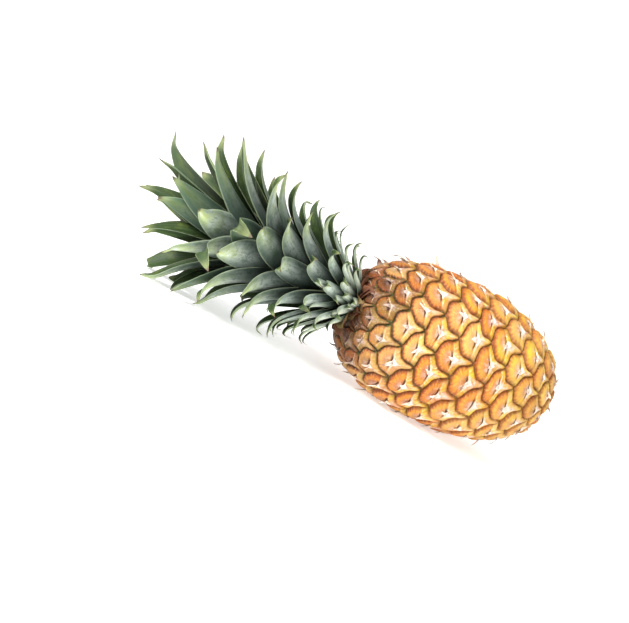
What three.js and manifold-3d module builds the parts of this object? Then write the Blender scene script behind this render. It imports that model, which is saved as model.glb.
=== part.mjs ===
// A whole pineapple lying on its side: the fruit, its leafy crown and the cut end of its stalk.
// Millimetres, +Z up. The origin is the flat spot on which the belly of the fruit rests. The
// crown points along -X and a little up, the cut stalk along +X, and z = 0 is the surface below.
//
// Each piece is made upright in the plant's own frame: its axis is +Z, z = 0 is the cut end of
// the fruit and z = FRUIT.length the neck that carries the crown. The last lines lay it down.
import * as THREE from "three";
import { mergeVertices } from "three/addons/utils/BufferGeometryUtils.js";
import Module from "manifold-3d";

// ---- Driving dimensions ------------------------------------------------------------------

const FRUIT = {
  length: 170, // cut end to neck, along the axis
  radius: 53.5, // widest ring of the eyes' shoulders
  neckRadius: 17.5, // flat under the crown
  cutRadius: 20, // flat round the stalk
  neckBulge: 2.5, // exponents of the two superellipse halves
  cutBulge: 2.2,
};

const EYES = {
  count: 165, // from the neck to the cut end, on one spiral
  shrink: 0.3, // how much smaller they get as the fruit narrows
  tip: -0.1, // place of an eye's highest point, in eye widths along both families of spirals
  steps: [-0.5, -0.35, -0.1, 0.25], // mesh lines across one eye, in eye widths
  rounding: 0.13, // how far the edge towards the crown bows out, in eye widths
  groove: 2.8, // depth of the grooves between the eyes
  dome: 0.8, // rise of an eye from its shoulder to its middle
  bract: 2.2, // height of the bract's keel over the middle of the eye
  beak: 1.6, // how far the bract's torn point stands out of that
};

const STALK = { radius: 11.5, length: 6, collarRadius: 15, collar: 1.5, bracts: 7 };

const CORE = { footRadius: 14, topRadius: 4.5, length: 76 }; // the crown's own short stem

// The crown's leaves follow these rows from the lowest leaf (share 0) to the innermost one
// (share 1). foot and tip are heights above the neck, reach is the tip's distance from the axis,
// rise and bow are the blade's directions at its foot and its tip, in degrees from the axis.
const LEAVES = {
  count: 88,
  firstAngle: 190, // degrees round the axis to the lowest leaf
  sprawl: 0.3, // how much further the few sprawling leaves reach out
  share: [0, 0.22, 0.38, 0.56, 0.74, 0.87, 1],
  foot: [-1, 4, 12, 27, 44, 58, 68],
  tip: [9, 33, 52, 90, 126, 155, 175],
  reach: [34, 48, 54, 59, 65, 55, 16],
  width: [7, 8.5, 14, 22, 27, 27, 18],
  rise: [78, 60, 45, 32, 22, 12, 4],
  bow: [150, 144, 126, 88, 62, 42, 16],
};

// How a blade is built: the shares of its length with a ring, the ring from its left edge round to
// it again as half widths across and millimetres outwards, how much wider than the blade its foot
// is to each side, and the triangles that close the foot. Narrow blades are flat.
const BLADE = {
  fold: 22, // degrees that each half turns in from flat
  clasp: 38, // the same at the foot, where the blade wraps the stem
  flatWidth: 11, // blades narrower than this are flat
  flat: {
    stations: [0, 0.3, 0.6, 0.84],
    section: [[-1, 0], [1, 0], [1, 1], [-1, 1]],
    spread: 3.5,
    cap: [0, 1, 2, 0, 2, 3],
  },
  folded: {
    stations: [0, 0.2, 0.42, 0.64, 0.84],
    section: [[-1, 0], [0, 0], [1, 0], [1, 0.7], [0, 1.6], [-1, 0.7]],
    spread: 0,
    cap: [0, 1, 4, 0, 4, 5, 1, 2, 3, 1, 3, 4],
  },
};

const LIE = {
  pitch: -1.8, // degrees that the neck is raised over the cut end
  lean: 2, // degrees that the crown grows up out of the fruit's axis
  restEye: 86, // the eye that lies on the surface
  flat: 1.9, // how much of that eye's tip is pressed flat
  leafSpring: 3.5, // a leaf this near the surface starts to bend away from it
};

const GAP = 0.3; // between touching pieces
const SEED = 1457;

// ---- Small helpers -----------------------------------------------------------------------

const GOLDEN_TURN = 137.50776; // degrees from one eye or leaf to the next
const EIGHT = 8; // an eye's neighbours are 8 and 13 places along the spiral
const THIRTEEN = 13;

const rad = THREE.MathUtils.degToRad;
const smooth = THREE.MathUtils.smoothstep;
const mix = THREE.MathUtils.lerp;

/** Degrees between two eyes `places` apart, in -180..180. */
const turnOf = (places) => THREE.MathUtils.euclideanModulo(places * GOLDEN_TURN + 180, 360) - 180;

/** The value at x on the line through the points (xs[i], ys[i]). */
function along(xs, ys, x) {
  let i = 1;
  while (i < xs.length - 1 && xs[i] < x) i++;
  return mix(ys[i - 1], ys[i], (x - xs[i - 1]) / (xs[i] - xs[i - 1]));
}

/** Seeded random numbers from -1 to 1. */
function randomSigned(seed) {
  let state = seed;
  return () => {
    state = (state + 0x6d2b79f5) | 0;
    let t = Math.imul(state ^ (state >>> 15), 1 | state);
    t = (t + Math.imul(t ^ (t >>> 7), 61 | t)) ^ t;
    return (((t ^ (t >>> 14)) >>> 0) / 4294967296) * 2 - 1;
  };
}

const wasm = await Module();
wasm.setup();

/** A closed geometry as a manifold-3d solid. */
function solidOf(geometry) {
  const bare = geometry.clone();
  bare.deleteAttribute("normal");
  bare.deleteAttribute("uv");
  const merged = mergeVertices(bare, 1e-4);
  return new wasm.Manifold(
    new wasm.Mesh({
      numProp: 3,
      vertProperties: new Float32Array(merged.attributes.position.array),
      triVerts: new Uint32Array(merged.index.array),
    }),
  );
}

/** The largest body of a manifold-3d solid, as a geometry. */
function geometryOf(solid) {
  const bodies = solid.decompose().sort((a, b) => b.volume() - a.volume());
  const mesh = bodies[0].getMesh();
  const geometry = new THREE.BufferGeometry();
  geometry.setAttribute("position", new THREE.BufferAttribute(mesh.vertProperties, 3));
  geometry.setIndex(new THREE.BufferAttribute(mesh.triVerts, 1));
  geometry.computeVertexNormals();
  return geometry;
}

/** A profile of [radius, height] rows, from the bottom up, turned round the Z axis. */
function turned(profile, segments) {
  const lathe = new THREE.LatheGeometry(profile.map(([r, z]) => new THREE.Vector2(r, z)), segments);
  lathe.rotateX(Math.PI / 2);
  return lathe;
}

/** An indexed geometry from points and triangles. */
function geometryFrom(points, triangles) {
  const geometry = new THREE.BufferGeometry().setFromPoints(points);
  geometry.setIndex(triangles);
  return geometry;
}

// ---- The fruit ---------------------------------------------------------------------------

/** Rows of the smooth fruit's outline from the crown's pole to the stalk's: r, z and the eye
 *  number there, which is 0 at the neck and EYES.count at the cut end. */
function fruitOutline() {
  const { length, radius, neckRadius, cutRadius, neckBulge, cutBulge } = FRUIT;
  const share = (r, bulge) => (1 - (r / radius) ** bulge) ** (1 / bulge);
  const half = length / (share(neckRadius, neckBulge) + share(cutRadius, cutBulge));
  const widest = half * share(cutRadius, cutBulge);
  const rows = [];
  const samples = 600;
  for (let i = 1; i < samples; i++) {
    const x = -Math.cos((Math.PI * i) / samples); // -1 at the crown's pole
    const bulge = x < 0 ? neckBulge : cutBulge;
    const r = radius * (1 - Math.abs(x) ** bulge) ** (1 / bulge);
    rows.push({ r, z: widest - half * x, eye: 0 });
  }
  for (let i = 1; i < rows.length; i++) {
    const step = Math.hypot(rows[i].r - rows[i - 1].r, rows[i].z - rows[i - 1].z);
    const size = ((rows[i].r + rows[i - 1].r) / 2 / radius) ** EYES.shrink;
    rows[i].eye = rows[i - 1].eye + step / size;
  }
  const eyeAt = (z) => along(rows.map((q) => -q.z), rows.map((q) => q.eye), -z);
  const first = eyeAt(length);
  const scale = EYES.count / (eyeAt(0) - first);
  rows.forEach((q) => (q.eye = (q.eye - first) * scale));
  return rows;
}

const OUTLINE = fruitOutline();
const OUTLINE_EYE = OUTLINE.map((q) => q.eye);
const OUTLINE_R = OUTLINE.map((q) => q.r);
const OUTLINE_Z = OUTLINE.map((q) => q.z);

/** Radius, height and outward normal of the smooth fruit at an eye number. */
function onFruit(eye) {
  const r = along(OUTLINE_EYE, OUTLINE_R, eye);
  const z = along(OUTLINE_EYE, OUTLINE_Z, eye);
  const dr = along(OUTLINE_EYE, OUTLINE_R, eye + 0.5) - r;
  const dz = along(OUTLINE_EYE, OUTLINE_Z, eye + 0.5) - z;
  const size = Math.hypot(dr, dz);
  return { r, z, normalR: -dz / size, normalZ: dr / size };
}

/** Height of the rind over the smooth fruit. a and b run from -0.5 to 0.5 across an eye, and the
 *  corner where both are -0.5 points to the crown. */
function eyeRelief(a, b) {
  const out = 2 * Math.max(Math.abs(a), Math.abs(b)); // 0 in the middle, 1 in the groove
  const down = a + b; // -1 at the corner towards the crown, 1 at the tail
  const side = Math.abs(a - b);
  const crest = 2 * EYES.tip;
  const groove = EYES.groove * (smooth(1 - out, 0, 0.28) - 1);
  const dome = EYES.dome * (1 - out * out);
  const ramp = down < crest ? smooth(down, crest - 0.4, crest) : (1 - down) / (1 - crest);
  const bract = EYES.bract * ramp * Math.max(0, 1 - side / 0.75);
  const beak = EYES.beak * Math.max(0, 1 - Math.hypot(down - crest, side) / 0.4);
  return groove + dome + bract + beak;
}

/** An eye's place on the two families of spirals, with eye = 8a + 13b and b from 0 to 7. */
function onSpirals(eye) {
  const b = THREE.MathUtils.euclideanModulo(5 * eye, EIGHT);
  return { a: (eye - THIRTEEN * b) / EIGHT, b };
}

/** A point of the rind. a and b count eyes along the two families of spirals, so that whole
 *  numbers are the middles of eyes. */
function rindPoint(a, b) {
  const localA = a - Math.round(a);
  const localB = b - Math.round(b);
  const bowedA = a - EYES.rounding * Math.cos(Math.PI * b) ** 2;
  const bowedB = b - EYES.rounding * Math.cos(Math.PI * a) ** 2;
  const eye = EIGHT * bowedA + THIRTEEN * bowedB;
  const angle = rad(turnOf(EIGHT) * bowedA + turnOf(THIRTEEN) * bowedB);
  const base = onFruit(eye);
  const size = (base.r / FRUIT.radius) ** EYES.shrink;
  const fade = smooth(eye, -6, 6) * smooth(EYES.count - eye, -6, 6);
  const raise = eyeRelief(localA, localB) * size * fade;
  const r = base.r + raise * base.normalR;
  return new THREE.Vector3(r * Math.cos(angle), r * Math.sin(angle), base.z + raise * base.normalZ);
}

/** The rind as one closed skin. Its mesh lines follow the grooves between the eyes. */
function rindSkin() {
  const lines = EYES.steps.length;
  const beyond = 10; // eyes past each end, which the end cuts take off
  const points = [];
  const numbers = new Map();
  const triangles = [];
  const vertex = (i, j) => {
    // 13 eyes along one family and 8 back along the other is once round the fruit.
    const rounds = Math.floor(j / (EIGHT * lines));
    const column = i + THIRTEEN * lines * rounds;
    const row = j - EIGHT * lines * rounds;
    const key = `${column},${row}`;
    if (!numbers.has(key)) {
      numbers.set(key, points.length);
      const place = (k) => Math.floor(k / lines) + EYES.steps[k - Math.floor(k / lines) * lines];
      points.push(rindPoint(place(column), place(row)));
    }
    return numbers.get(key);
  };
  for (let eye = -beyond; eye < EYES.count + beyond; eye++) {
    const { a, b } = onSpirals(eye);
    for (let i = a * lines; i < (a + 1) * lines; i++) {
      for (let j = b * lines; j < (b + 1) * lines; j++) {
        const far = vertex(i + 1, j + 1);
        triangles.push(vertex(i, j), far, vertex(i + 1, j), vertex(i, j), vertex(i, j + 1), far);
      }
    }
  }
  closeEnds(points, triangles);
  return geometryFrom(points, triangles);
}

/** Closes each open loop of a skin with a fan round a point on the axis. */
function closeEnds(points, triangles) {
  const edges = new Map();
  for (let t = 0; t < triangles.length; t += 3) {
    for (let k = 0; k < 3; k++) {
      const from = triangles[t + k];
      const to = triangles[t + ((k + 1) % 3)];
      if (!edges.delete(`${to},${from}`)) edges.set(`${from},${to}`, [from, to]);
    }
  }
  for (const top of [true, false]) {
    const rim = [...edges.values()].filter(([from]) => points[from].z > FRUIT.length / 2 === top);
    const heights = rim.map(([from]) => points[from].z);
    const height = top ? Math.max(...heights) : Math.min(...heights);
    points.push(new THREE.Vector3(0, 0, height));
    rim.forEach(([from, to]) => triangles.push(to, from, points.length - 1));
  }
}

function fruit(placement) {
  const up = placement.up;
  return geometryOf(
    solidOf(rindSkin())
      .trimByPlane([0, 0, -1], -FRUIT.length)
      .trimByPlane([0, 0, 1], 0)
      .trimByPlane([up.x, up.y, up.z], -placement.height),
  );
}

// ---- The cut stalk -----------------------------------------------------------------------

/** The stub of the stalk with the dry bracts round its root. */
function stalk() {
  const { radius, length, collarRadius, collar, bracts } = STALK;
  const profile = [
    [0, -length - 0.8],
    [radius - 0.6, -length],
    [radius, -collar - 1],
    [collarRadius - 1, -collar],
    [collarRadius, -GAP],
    [0, -GAP],
  ];
  let whole = solidOf(turned(profile, 20));
  for (let i = 0; i < bracts; i++) {
    const bract = new THREE.ConeGeometry(4.5, 9, 4, 1);
    bract.scale(1, 1, 0.35);
    bract.rotateX(rad(-8));
    bract.translate(0, radius + 3, -2);
    bract.rotateZ(rad(i * GOLDEN_TURN));
    whole = whole.add(solidOf(bract));
  }
  return geometryOf(whole.trimByPlane([0, 0, -1], GAP));
}

// ---- The crown ---------------------------------------------------------------------------

/** The leaves' sizes and directions, from the lowest to the innermost. */
function leafList() {
  const random = randomSigned(SEED);
  const list = [];
  for (let i = 0; i < LEAVES.count; i++) {
    const share = i / (LEAVES.count - 1);
    const row = (name) => along(LEAVES.share, LEAVES[name], share);
    const stray = Math.max(0, random()) ** 5; // near 1 for the few leaves that sprawl
    list.push({
      angle: rad(LEAVES.firstAngle - GOLDEN_TURN * i + 3 * random()),
      foot: row("foot"),
      tip: row("tip") * (1 + 0.06 * random()),
      reach: row("reach") * (1 + 0.08 * random() + LEAVES.sprawl * stray),
      width: row("width") * (1 + 0.06 * random()),
      rise: rad(row("rise") + 2 * random()),
      bow: rad(row("bow") + 11 * random() + 25 * stray),
      sway: 0.09 * random(), // sideways lean of the tip, as a share of the leaf's length
      twist: rad(18 * random()),
    });
  }
  return list;
}

/** The middle line of a leaf, in its own upright plane: x is the distance from the axis. */
function leafSpine(leaf) {
  const root = new THREE.Vector3(coreRadius(leaf.foot) * 0.5, 0, leaf.foot - 3);
  const tip = new THREE.Vector3(leaf.reach, 0, leaf.tip);
  const pull = root.distanceTo(tip);
  const toward = (angle, size) => new THREE.Vector3(Math.sin(angle) * size, 0, Math.cos(angle) * size);
  tip.y = leaf.sway * pull;
  return new THREE.CubicBezierCurve3(
    root,
    root.clone().add(toward(leaf.rise, pull * 0.42)),
    tip.clone().sub(toward(leaf.bow, pull * 0.3)),
    tip,
  );
}

/** Half width of a blade at a share t of its length, as a share of its full width. */
const bladeShape = (t) => 0.5 * (1 - t ** 3.5) ** 0.78 * (0.7 + 0.33 * Math.sin(Math.PI * t));

const coreRadius = (height) => mix(CORE.footRadius, CORE.topRadius, height / CORE.length);

/** The ring of a blade at a share t of its length, round one of BLADE's sections. */
function bladeRing(leaf, spine, t, section, spread) {
  const centre = spine.getPoint(t);
  const forward = spine.getTangent(t);
  const side = new THREE.Vector3(0, 1, 0).applyAxisAngle(forward, leaf.twist * t * t);
  const inner = new THREE.Vector3().crossVectors(forward, side).normalize();
  side.crossVectors(inner, forward);
  const half = leaf.width * bladeShape(t) + spread * (1 - smooth(t, 0, 0.45));
  const fold = rad(mix(BLADE.clasp, BLADE.fold, smooth(t, 0, 0.35)));
  return section.map(([across, thick]) =>
    centre
      .clone()
      .addScaledVector(side, across * half * Math.cos(fold))
      .addScaledVector(inner, Math.abs(across) * half * Math.sin(fold) - thick * mix(1, 0.75, t)),
  );
}

/** One blade as a closed strip of rings that ends in a point. A narrow one is flat, a broad one
 *  is folded along its midrib. */
function leafBlade(leaf, placement) {
  const { stations, section, spread, cap } = leaf.width < BLADE.flatWidth ? BLADE.flat : BLADE.folded;
  const sides = section.length;
  const spine = leafSpine(leaf);
  const points = stations.flatMap((t) => bladeRing(leaf, spine, t, section, spread));
  points.push(spine.getPoint(1));
  const triangles = [...cap];
  for (let a = 0; a < (stations.length - 1) * sides; a++) {
    const b = a % sides === sides - 1 ? a + 1 - sides : a + 1;
    triangles.push(a, b + sides, b, a, a + sides, b + sides);
  }
  const last = (stations.length - 1) * sides;
  for (let k = 0; k < sides; k++) {
    triangles.push(last + k, points.length - 1, last + ((k + 1) % sides));
  }
  const turn = new THREE.Matrix4().makeRotationZ(leaf.angle);
  points.forEach((p) => p.applyMatrix4(turn).applyMatrix4(placement.crownStand));
  bendOffSurface(points, sides, placement);
  return geometryFrom(points, triangles);
}

/** Lifts each ring of a blade that comes near the surface, so that it lies along it. */
function bendOffSurface(points, sides, placement) {
  for (let start = 0; start < points.length; start += sides) {
    const ring = points.slice(start, start + sides);
    const lowest = Math.min(...ring.map((p) => p.dot(placement.up) + placement.height));
    if (lowest >= LIE.leafSpring) continue;
    const lifted = LIE.leafSpring * Math.exp(lowest / LIE.leafSpring - 1);
    ring.forEach((p) => p.addScaledVector(placement.up, lifted - lowest));
  }
}

function crown(placement) {
  const profile = [
    [0, -3],
    [CORE.footRadius, -3],
    [coreRadius(CORE.length * 0.5), CORE.length * 0.5],
    [CORE.topRadius, CORE.length],
    [0, CORE.length + 3],
  ];
  let whole = solidOf(turned(profile, 14).applyMatrix4(placement.crownStand));
  for (const leaf of leafList()) {
    whole = whole.add(solidOf(leafBlade(leaf, placement)));
  }
  return geometryOf(whole.trimByPlane([0, 0, 1], FRUIT.length + GAP));
}

// ---- Laying it down ----------------------------------------------------------------------

/** How the upright plant is laid on the surface: the matrix that lays it, the way up in the
 *  plant's own frame, the height of its origin over the surface, and the matrix that stands the
 *  crown on the neck. */
function lyingPlacement() {
  const laid = new THREE.Matrix4().makeRotationY(rad(LIE.pitch - 90));
  laid.multiply(new THREE.Matrix4().makeRotationZ(Math.PI - rad(GOLDEN_TURN * LIE.restEye)));
  const { a, b } = onSpirals(LIE.restEye);
  const tip = rindPoint(a + EYES.tip, b + EYES.tip).applyMatrix4(laid);
  const height = -tip.z - LIE.flat;
  laid.setPosition(-tip.x, -tip.y, height);
  const up = new THREE.Vector3(laid.elements[2], laid.elements[6], laid.elements[10]);
  const across = new THREE.Vector3(0, 0, 1).cross(up).normalize();
  const crownStand = new THREE.Matrix4().makeRotationAxis(across, rad(LIE.lean));
  crownStand.setPosition(0, 0, FRUIT.length);
  return { laid, up, height, crownStand };
}

function named(name, geometry, color, roughness) {
  const material = new THREE.MeshStandardMaterial({ color, roughness, metalness: 0 });
  const mesh = new THREE.Mesh(geometry, material);
  mesh.name = name;
  return mesh;
}

const placement = lyingPlacement();
const pineapple = new THREE.Group();
pineapple.applyMatrix4(placement.laid);
pineapple.add(
  named("fruit", fruit(placement), 0xc98a35, 0.6),
  named("crown", crown(placement), 0x6f8a6c, 0.55),
  named("cut_stalk", stalk(), 0xa98f62, 0.8),
);

export default pineapple;
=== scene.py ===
"""A whole pineapple that lies on its side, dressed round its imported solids.

The rind, the crown and the stalk are built by the same rules as the solids that they replace, but
finer: every eye has its sepals, its slit and its bract, and every blade is a smooth channel. The
plant's own frame has its axis on +Z, z = 0 at the cut end and z = FRUIT_LENGTH at the neck, in
millimetres. LAID takes it to the frame of the part, in metres.
"""

import math
from functools import partialmethod
from types import SimpleNamespace

import bpy
import numpy as np
from mathutils import Matrix, Vector


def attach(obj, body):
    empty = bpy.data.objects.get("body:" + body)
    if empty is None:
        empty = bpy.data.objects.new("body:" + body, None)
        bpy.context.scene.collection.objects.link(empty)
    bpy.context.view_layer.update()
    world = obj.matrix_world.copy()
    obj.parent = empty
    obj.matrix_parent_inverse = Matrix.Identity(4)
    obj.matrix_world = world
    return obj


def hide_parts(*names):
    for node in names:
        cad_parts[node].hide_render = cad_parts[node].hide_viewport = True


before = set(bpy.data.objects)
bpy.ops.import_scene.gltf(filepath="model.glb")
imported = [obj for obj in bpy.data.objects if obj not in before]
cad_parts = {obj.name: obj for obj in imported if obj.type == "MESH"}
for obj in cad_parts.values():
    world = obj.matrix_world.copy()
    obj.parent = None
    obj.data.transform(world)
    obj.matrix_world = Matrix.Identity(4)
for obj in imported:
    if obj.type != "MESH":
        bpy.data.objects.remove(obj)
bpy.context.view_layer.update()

# ---- Sizes that the solids have too, in millimetres and degrees ----

FRUIT_LENGTH = 170
FRUIT_RADIUS = 53.5
NECK_RADIUS = 17.5
CUT_RADIUS = 20
NECK_BULGE = 2.5
CUT_BULGE = 2.2

EYE_COUNT = 165
EYE_SHRINK = 0.3  # 0 for eyes of one size, 1 for eyes that shrink as fast as the fruit narrows
SOLID_ROUNDING = 0.13
GROOVE = 2.8
DOME = 0.8
BRACT = 2.2
BEAK = 1.6
CREST = -0.2

STALK_RADIUS = 11.5
STALK_LENGTH = 6
COLLAR_RADIUS = 15
COLLAR = 1.5
STALK_BRACTS = 7

CORE_FOOT_RADIUS = 14
CORE_TOP_RADIUS = 4.5
CORE_LENGTH = 76

LEAF_COUNT = 88
FIRST_LEAF_ANGLE = 190
SPRAWL = 0.3
LEAF_SHARE = [0, 0.22, 0.38, 0.56, 0.74, 0.87, 1]
LEAF_ROWS = {
    "foot": [-1, 4, 12, 27, 44, 58, 68],
    "tip": [9, 33, 52, 90, 126, 155, 175],
    "reach": [34, 48, 54, 59, 65, 55, 16],
    "width": [7, 8.5, 14, 22, 27, 27, 18],
    "rise": [78, 60, 45, 32, 22, 12, 4],
    "bow": [150, 144, 126, 88, 62, 42, 16],
}
FOLD = 22
CLASP = 38
NARROW = 11
FOOT_SPREAD = 3.5

PITCH = -1.8
LEAN = 2
REST_EYE = 86
REST_FLAT = 1.9
LEAF_SPRING = 3.5

GAP = 0.3
SEED = 1457
GOLDEN_TURN = 137.50776

# ---- Sizes of the finer detail ----

EYE_ROUNDING = 0.19  # how far an eye's edges bow, where the solid has SOLID_ROUNDING
EYE_STEADY = 0.6  # how much less the middle of an eye bows than its edges
UNEVEN_TURN = 0.013  # radians that the waves which make the eyes uneven push them round
UNEVEN_ALONG = 0.9  # and how far they push them along, as a count of eyes
EYE_LUCK = 0.5  # how much higher the highest sepals and bract are than the usual ones
SEPALS = 1.9
SEPAL_PLEATS = 0.16
BRACT_RIBS = 0.14
GROOVE_TEETH = 0.012  # in eye widths
SLIT = 0.07  # where the slit under the dry tip lies, with 0 for the middle of the eye
SLIT_BEND = 0.5
SLIT_DEPTH = 1.5
EYE_STEPS = 22  # mesh cells across an eye
EDGE_CROWDING = 0.42  # how much finer the cells are by the grooves, from 0 for even to 1
EYES_BEYOND = 10  # eyes past each end of the fruit, which its flat ends swallow
END_PLACE = 0.1  # the place in an eye whose colour the flat ends have
OUTLINE_STEPS = 600

BLADE_STEPS = 30  # mesh cells along a blade
BLADE_SPOTS = 9  # points across one face of a blade
BLADE_SWELL = 1.06  # how much wider the blades are than the solid's
BLADE_EDGE = 0.3  # thickness at the margins
BLADE_BODY = 1.15  # how much thicker a blade is in its middle
CHANNEL_ROUNDING = 0.05  # how round the bottom of a blade's channel is
CORE_SEGMENTS = 28
SLENDER_COUNT = 30  # thin leaves between the lowest ones, which the solid of the crown leaves out
NECK_BRACT_COUNT = 19
FOLDED_SHARES = (0.3, 0.85)  # where tips may be folded, from 0 for the crown's lowest leaf to 1
FOLD_CHANCE = 0.66  # the draw from -1 to 1 above which a leaf's tip is folded
FOLD_PLACE = 0.84  # along the blade
FOLD_ANGLE = 1.2  # radians

# ---- Small helpers ----


def smooth(x, low, high):
    t = np.clip((x - low) / (high - low), 0, 1)
    return t * t * (3 - 2 * t)


def mix(a, b, t):
    return a + (b - a) * t


def turn_of(places):
    """Degrees between two eyes that many places apart, in -180..180."""
    return (places * GOLDEN_TURN + 180) % 360 - 180


def random_signed(seed):
    """Seeded random numbers from -1 to 1, the same ones that the solids draw."""
    state = seed
    word = 0xFFFFFFFF

    def draw():
        nonlocal state
        state = (state + 0x6D2B79F5) & word
        t = ((state ^ (state >> 15)) * (1 | state)) & word
        t = ((t + ((t ^ (t >> 7)) * (61 | t) & word)) ^ t) & word
        return (t ^ (t >> 14)) / 4294967296 * 2 - 1

    return draw


def unit(v):
    return v / np.linalg.norm(v, axis=-1, keepdims=True)


def moved(matrix, points):
    """Points, an array of rows of x, y and z, through a 4 by 4 matrix."""
    m = np.array(matrix)
    return points @ m[:3, :3].T + m[:3, 3]


# ---- The smooth fruit ----


def fruit_outline():
    """Eye number, radius and height down the fruit's outline, from the crown's pole."""

    def share(r, bulge):
        return (1 - (r / FRUIT_RADIUS) ** bulge) ** (1 / bulge)

    half = FRUIT_LENGTH / (share(NECK_RADIUS, NECK_BULGE) + share(CUT_RADIUS, CUT_BULGE))
    widest = half * share(CUT_RADIUS, CUT_BULGE)
    x = -np.cos(math.pi * np.arange(1, OUTLINE_STEPS) / OUTLINE_STEPS)
    bulge = np.where(x < 0, NECK_BULGE, CUT_BULGE)
    r = FRUIT_RADIUS * (1 - np.abs(x) ** bulge) ** (1 / bulge)
    z = widest - half * x
    step = np.hypot(np.diff(r), np.diff(z))
    size = ((r[1:] + r[:-1]) / 2 / FRUIT_RADIUS) ** EYE_SHRINK
    eye = np.concatenate([[0], np.cumsum(step / size)])
    first = np.interp(-FRUIT_LENGTH, -z, eye)
    last = np.interp(0, -z, eye)
    return (eye - first) * EYE_COUNT / (last - first), r, z


OUTLINE = fruit_outline()


def on_fruit(eye):
    """Radius, height and the outward normal's two parts, of the smooth fruit at an eye number."""
    number, radii, heights = OUTLINE
    r = np.interp(eye, number, radii)
    z = np.interp(eye, number, heights)
    dr = np.interp(eye + 0.5, number, radii) - r
    dz = np.interp(eye + 0.5, number, heights) - z
    size = np.hypot(dr, dz)
    return r, z, -dz / size, dr / size


def slit_line(side):
    """Where the slit between sepals and bract lies, as a value of down."""
    return SLIT - SLIT_BEND * side**2


def eye_relief(a, b, luck):
    """Height of the rind over the smooth fruit. a and b run from -0.5 to 0.5 across an eye, and
    the corner where both are -0.5 points to the crown. luck, from -1 to 1, is the eye's own."""
    down = a + b
    side = a - b
    out = 2 * np.maximum(np.abs(a), np.abs(b))
    crown_edge = np.minimum(a, b) + 0.5
    tail_edge = 0.5 - np.maximum(a, b)
    turn = np.arctan2(side, down + 0.3)
    scallop = GROOVE_TEETH * np.sin(17 * turn) * (down < 0)
    groove = smooth(crown_edge + scallop, 0, 0.075) * smooth(tail_edge, 0, 0.06) - 1
    groove *= GROOVE * (0.75 - 0.25 * smooth(down, -0.1, 0.4))
    dome = DOME * (1 - out * out)

    pillow = np.clip(1 - ((down + 0.38) / 0.58) ** 2 - (side / 0.74) ** 2, 0, 1)
    sepals = (SEPALS + EYE_LUCK * luck) * pillow**0.55
    pleats = SEPAL_PLEATS * np.sin(9 * turn + 3 * luck) * smooth(pillow, 0, 0.5)
    pleats = pleats * smooth(0.2 - down, 0, 0.3)

    tent = np.clip(1 - np.sqrt(side**2 + 0.01) / 0.8, 0, 1)
    bract = (BRACT + EYE_LUCK * luck) * tent**0.8 * np.clip(1 - 0.75 * down, 0, 1.05)
    fan = np.arctan2(side, down + 0.35)
    bract += BRACT_RIBS * np.sin(15 * fan + 4 * luck) * smooth(down, 0, 0.2)

    past = down - slit_line(side)
    slit = SLIT_DEPTH * np.exp(-(((past + 0.02) / 0.05) ** 2)) * smooth(0.5 - np.abs(side), 0, 0.3)
    return groove + dome + mix(sepals + pleats, bract, smooth(past, -0.02, 0.06)) - slit


def made_uneven(eye, angle, fade):
    """Eye numbers and angles, pushed by waves so that the eyes aren't all alike."""
    round_waves = np.sin(5 * angle + 0.09 * eye) + np.sin(8 * angle - 0.06 * eye + 2)
    long_waves = np.sin(6 * angle - 0.1 * eye) + np.sin(3 * angle + 0.13 * eye + 1)
    return eye + UNEVEN_ALONG * fade * long_waves, angle + UNEVEN_TURN * fade * round_waves


def rind_point(a, b, lift=0):
    """Points of the rind, where a and b count eyes along the two families of spirals."""
    across_a = np.cos(math.pi * a) ** 2  # 1 in the middle of an eye, 0 in its grooves
    across_b = np.cos(math.pi * b) ** 2
    bowed_a = a - EYE_ROUNDING * across_b * (1 - EYE_STEADY * across_a)
    bowed_b = b - EYE_ROUNDING * across_a * (1 - EYE_STEADY * across_b)
    eye = 8 * bowed_a + 13 * bowed_b
    angle = np.radians(turn_of(8) * bowed_a + turn_of(13) * bowed_b)
    fade = smooth(eye, -6, 6) * smooth(EYE_COUNT - eye, -6, 6)  # 0 at the fruit's two ends
    eye, angle = made_uneven(eye, angle, fade)
    r, z, normal_r, normal_z = on_fruit(eye)
    size = (r / FRUIT_RADIUS) ** EYE_SHRINK
    own_a = np.ceil(a - 0.5)
    own_b = np.ceil(b - 0.5)
    luck = np.sin(17.1 * (8 * own_a + 13 * own_b))
    raised = (eye_relief(a - own_a, b - own_b, luck) + lift) * size * fade
    r = r + raised * normal_r
    z = z + raised * normal_z
    return np.stack([r * np.cos(angle), r * np.sin(angle), z], -1)


def on_spirals(eye):
    """An eye's place on the two families of spirals."""
    b = 5 * eye % 8
    return (eye - 13 * b) // 8, b


# ---- Laying it down ----


def coarse_tip(eye):
    """The highest point that the solid of an eye has."""
    a, b = on_spirals(eye)
    shift = CREST / 2
    bowed = shift - SOLID_ROUNDING * math.cos(math.pi * shift) ** 2
    angle = math.radians(turn_of(8) * (a + bowed) + turn_of(13) * (b + bowed))
    r, z, normal_r, normal_z = on_fruit(eye + 21 * bowed)
    raised = DOME * (1 - CREST**2) + BRACT + BEAK
    raised *= (r / FRUIT_RADIUS) ** EYE_SHRINK
    r += raised * normal_r
    return Vector((r * math.cos(angle), r * math.sin(angle), z + raised * normal_z))


def lying_matrix():
    turn = math.pi - math.radians(GOLDEN_TURN * REST_EYE)
    laid = Matrix.Rotation(math.radians(PITCH - 90), 4, "Y") @ Matrix.Rotation(turn, 4, "Z")
    tip = laid @ coarse_tip(REST_EYE)
    laid.translation = (-tip.x, -tip.y, -tip.z - REST_FLAT)
    return laid


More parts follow.
